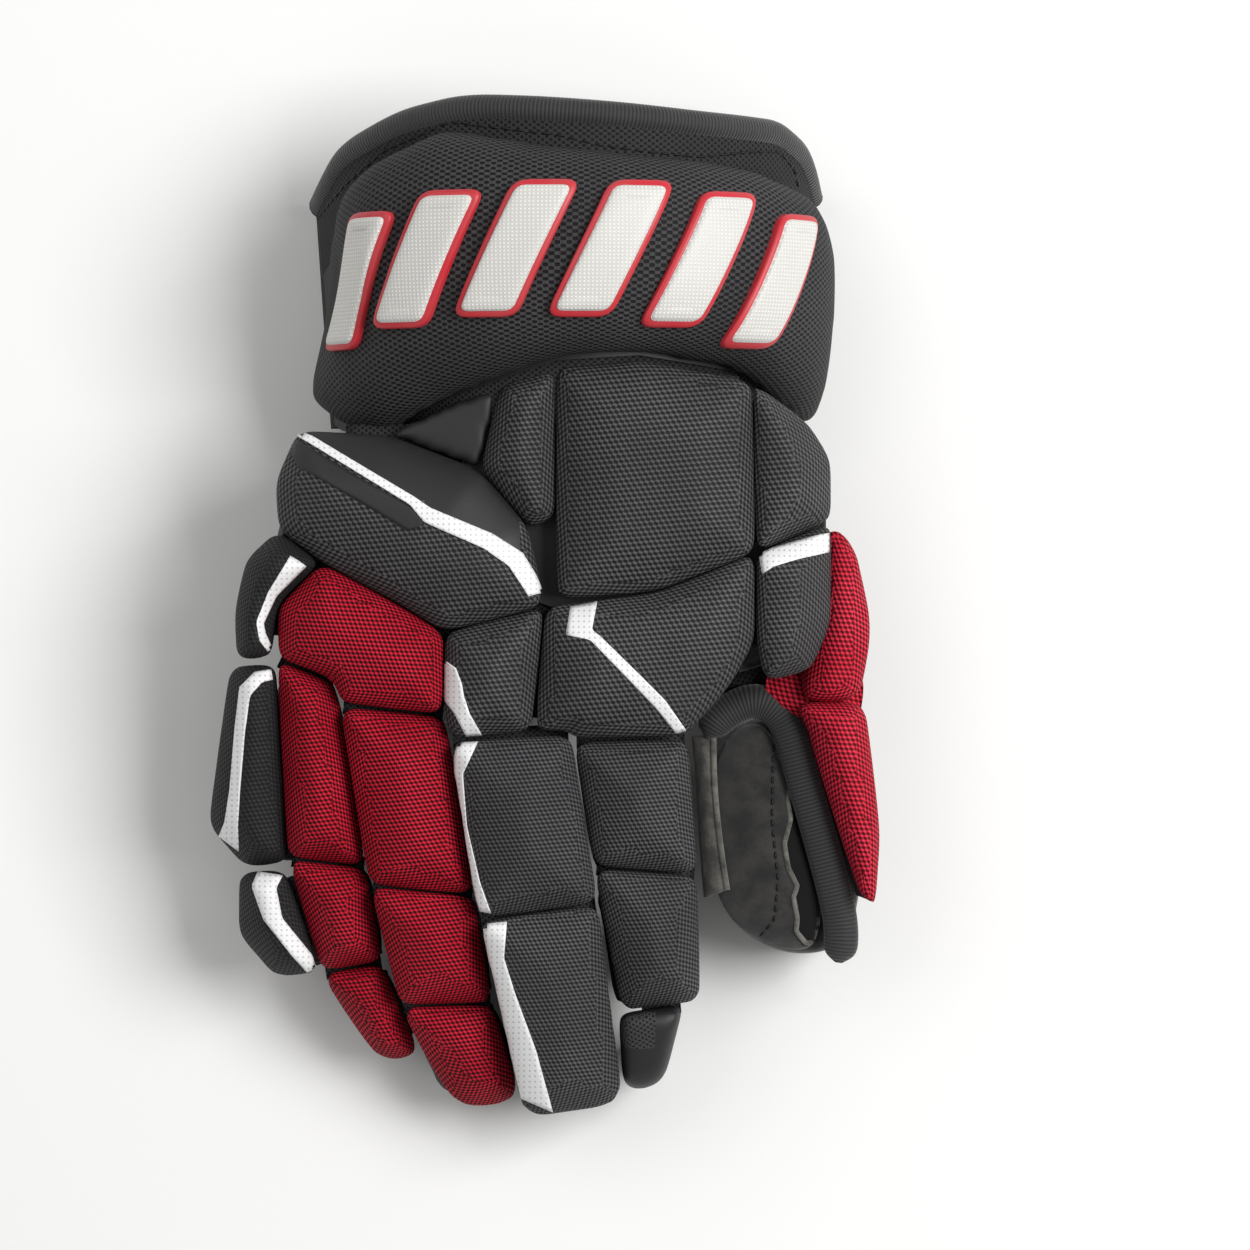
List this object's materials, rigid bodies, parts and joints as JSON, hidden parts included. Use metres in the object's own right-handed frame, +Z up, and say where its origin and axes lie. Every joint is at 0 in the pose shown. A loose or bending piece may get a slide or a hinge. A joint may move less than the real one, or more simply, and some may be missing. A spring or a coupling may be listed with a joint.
{
  "type": "ice hockey glove",
  "caption": "Padded right-hand ice hockey glove with segmented finger rolls, jointed fingers and thumb, a flared cuff with raised bars, and a suede palm.",
  "frame": {"origin": "centre of the glove in plan, on the table that the palm heel rests on", "axes": "+X to the thumb side, +Y to the cuff, +Z up out of the back of the hand"},
  "size_m": [0.2243, 0.3484, 0.1078],
  "materials": {
    "black_weave": "coarse woven nylon, black",
    "red_weave": "coarse woven nylon, red",
    "cuff_mesh": "air mesh knit with small oval holes",
    "bar_moulding": "moulded soft plastic, white with red rims",
    "ribbed_tape": "ribbed edge tape",
    "insert_plastic": "moulded sheet",
    "lining": "brushed lining cloth",
    "smooth_leather": "smooth synthetic leather",
    "palm_suede": "brushed synthetic suede",
    "gusset_knit": "stretch knit"
  },
  "bodies": {
    "hand": {"backhand_outer_roll": "black_weave", "backhand_wrist_panel": "smooth_leather", "backhand_wedge": "black_weave", "backhand_main": "black_weave", "thumb_side_upper": "black_weave", "thumb_side_lower": "black_weave", "knuckle_outer_cap": "black_weave", "knuckle_red": "red_weave", "knuckle_middle": "black_weave", "knuckle_index": "black_weave", "backhand_plate": "insert_plastic", "hand_liner": "lining", "palm_panel": "palm_suede", "palm_overlay": "palm_suede", "finger_roots": "gusset_knit", "outer_gusset": "gusset_knit", "thumb_gusset": "gusset_knit", "thumb_pad_upper": "red_weave"},
    "cuff": {"cuff_roll": "cuff_mesh", "cuff_bars": "bar_moulding", "cuff_binding": "ribbed_tape", "cuff_lining": "lining", "cuff_plate": "insert_plastic"},
    "thumb": {"thumb_pad_lower": "red_weave", "thumb_binding": "ribbed_tape", "thumb_face": "palm_suede", "thumb_plate": "insert_plastic", "thumb_stall": "palm_suede"},
    "index_1": {"index_1_pad": "black_weave", "index_1_stall": "gusset_knit"},
    "index_2": {"index_2_pad": "black_weave", "index_2_stall": "gusset_knit"},
    "index_3": {"index_tip": "gusset_knit"},
    "middle_1": {"middle_1_pad": "black_weave", "middle_1_stall": "gusset_knit"},
    "middle_2": {"middle_2_pad": "black_weave", "middle_2_stall": "gusset_knit"},
    "ring_1": {"ring_1_pad": "red_weave", "ring_1_stall": "gusset_knit"},
    "ring_2": {"ring_2_pad": "red_weave", "ring_2_stall": "gusset_knit"},
    "ring_3": {"ring_3_pad": "red_weave", "ring_3_stall": "gusset_knit"},
    "little_1": {"little_1_pad": "red_weave", "little_1_side": "black_weave", "little_1_stall": "gusset_knit"},
    "little_2": {"little_2_pad": "red_weave", "little_2_side": "black_weave", "little_2_stall": "gusset_knit"},
    "little_3": {"little_3_pad": "red_weave", "little_3_stall": "gusset_knit"}
  },
  "joints": [
    {"name": "index_knuckle_fold", "type": "hinge", "parent": "hand", "child": "index_1", "pos_m": [0.0291, -0.04531, 0.0626], "axis": [0.9877, 0.1564, 0], "range_deg": [-5, 40], "stiffness_Nm_per_rad": 2},
    {"name": "index_middle_fold", "type": "hinge", "parent": "index_1", "child": "index_2", "pos_m": [0.03417, -0.09016, 0.05629], "axis": [0.9877, 0.1564, 0], "range_deg": [-5, 40], "stiffness_Nm_per_rad": 1.2},
    {"name": "index_tip_fold", "type": "hinge", "parent": "index_2", "child": "index_3", "pos_m": [0.03965, -0.13749, 0.0382], "axis": [0.9877, 0.1564, 0], "range_deg": [-2.5, 20]},
    {"name": "middle_knuckle_fold", "type": "hinge", "parent": "hand", "child": "middle_1", "pos_m": [-0.0117, -0.04438, 0.0656], "axis": [0.9877, 0.1564, 0], "range_deg": [-5, 40], "stiffness_Nm_per_rad": 2},
    {"name": "middle_middle_fold", "type": "hinge", "parent": "middle_1", "child": "middle_2", "pos_m": [-0.00227, -0.10393, 0.05716], "axis": [0.9877, 0.1564, 0], "range_deg": [-5, 40], "stiffness_Nm_per_rad": 1.2},
    {"name": "ring_knuckle_fold", "type": "hinge", "parent": "hand", "child": "ring_1", "pos_m": [-0.05188, -0.03555, 0.0596], "axis": [0.9877, 0.1564, 0], "range_deg": [-5, 40], "stiffness_Nm_per_rad": 2},
    {"name": "ring_middle_fold", "type": "hinge", "parent": "ring_1", "child": "ring_2", "pos_m": [-0.04213, -0.09709, 0.05088], "axis": [0.9877, 0.1564, 0], "range_deg": [-5, 40], "stiffness_Nm_per_rad": 1.2},
    {"name": "ring_tip_fold", "type": "hinge", "parent": "ring_2", "child": "ring_3", "pos_m": [-0.03413, -0.13703, 0.03541], "axis": [0.9877, 0.1564, 0], "range_deg": [-2.5, 20]},
    {"name": "little_knuckle_fold", "type": "hinge", "parent": "hand", "child": "little_1", "pos_m": [-0.08141, -0.02201, 0.0551], "axis": [0.9877, 0.1564, 0], "range_deg": [-5, 40], "stiffness_Nm_per_rad": 2},
    {"name": "little_middle_fold", "type": "hinge", "parent": "little_1", "child": "little_2", "pos_m": [-0.07474, -0.08777, 0.04586], "axis": [0.9877, 0.1564, 0], "range_deg": [-5, 40], "stiffness_Nm_per_rad": 1.2},
    {"name": "little_tip_fold", "type": "hinge", "parent": "little_2", "child": "little_3", "pos_m": [-0.06672, -0.12437, 0.03165], "axis": [0.9877, 0.1564, 0], "range_deg": [-2.5, 20]},
    {"name": "thumb_fold", "type": "hinge", "parent": "hand", "child": "thumb", "pos_m": [0.108, -0.031, 0.0384], "axis": [0.3, 0, -0.9539], "range_deg": [-20, 5], "stiffness_Nm_per_rad": 1.5},
    {"name": "wrist_fold", "type": "hinge", "parent": "hand", "child": "cuff", "pos_m": [0.0065, 0.054, 0.084], "axis": [1, 0, 0], "range_deg": [0, 25], "stiffness_Nm_per_rad": 4}
  ],
  "couplings": [
    {"joint": "index_tip_fold", "follows": "index_middle_fold", "ratio": 0.5},
    {"joint": "ring_tip_fold", "follows": "ring_middle_fold", "ratio": 0.5},
    {"joint": "little_tip_fold", "follows": "little_middle_fold", "ratio": 0.5}
  ]
}
